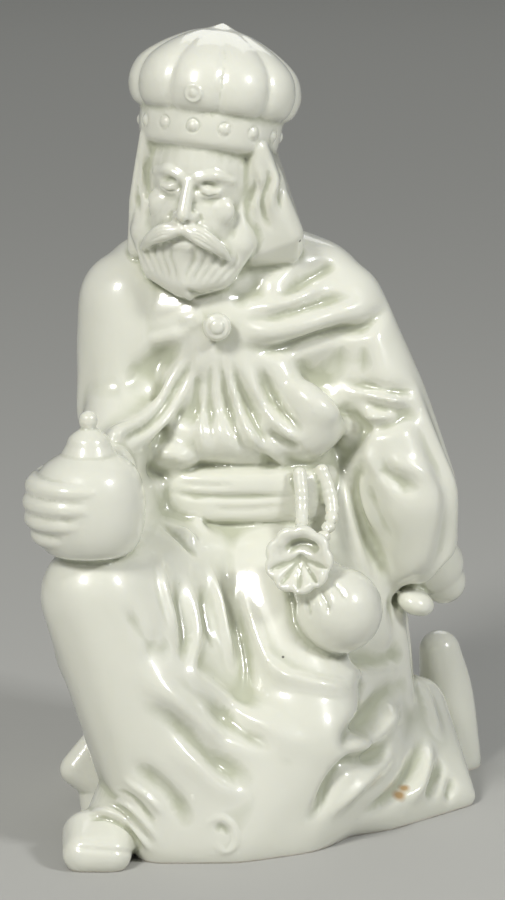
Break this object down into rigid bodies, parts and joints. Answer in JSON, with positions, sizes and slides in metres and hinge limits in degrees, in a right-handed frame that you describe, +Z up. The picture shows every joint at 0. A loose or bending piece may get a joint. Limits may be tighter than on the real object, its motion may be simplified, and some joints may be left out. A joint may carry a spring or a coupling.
{
  "type": "nativity wise man figurine",
  "caption": "Kneeling king figurine of white glazed porcelain, with a lidded jar on his raised knee, a lobed hat, a pinned cape and a drawstring purse; stands by its own weight.",
  "frame": {"origin": "middle of the footprint's box, on the ground the figure stands on", "axes": "+Z up; the figure looks towards -Y, its right hand and the jar are at -X and the trailing hem and purse at +X"},
  "size_m": [0.0936, 0.0872, 0.1599],
  "materials": {
    "glazed_porcelain": "white glazed porcelain, warm off-white, high gloss"
  },
  "bodies": {
    "root": {"wise_man_figure": "glazed_porcelain"}
  },
  "joints": []
}
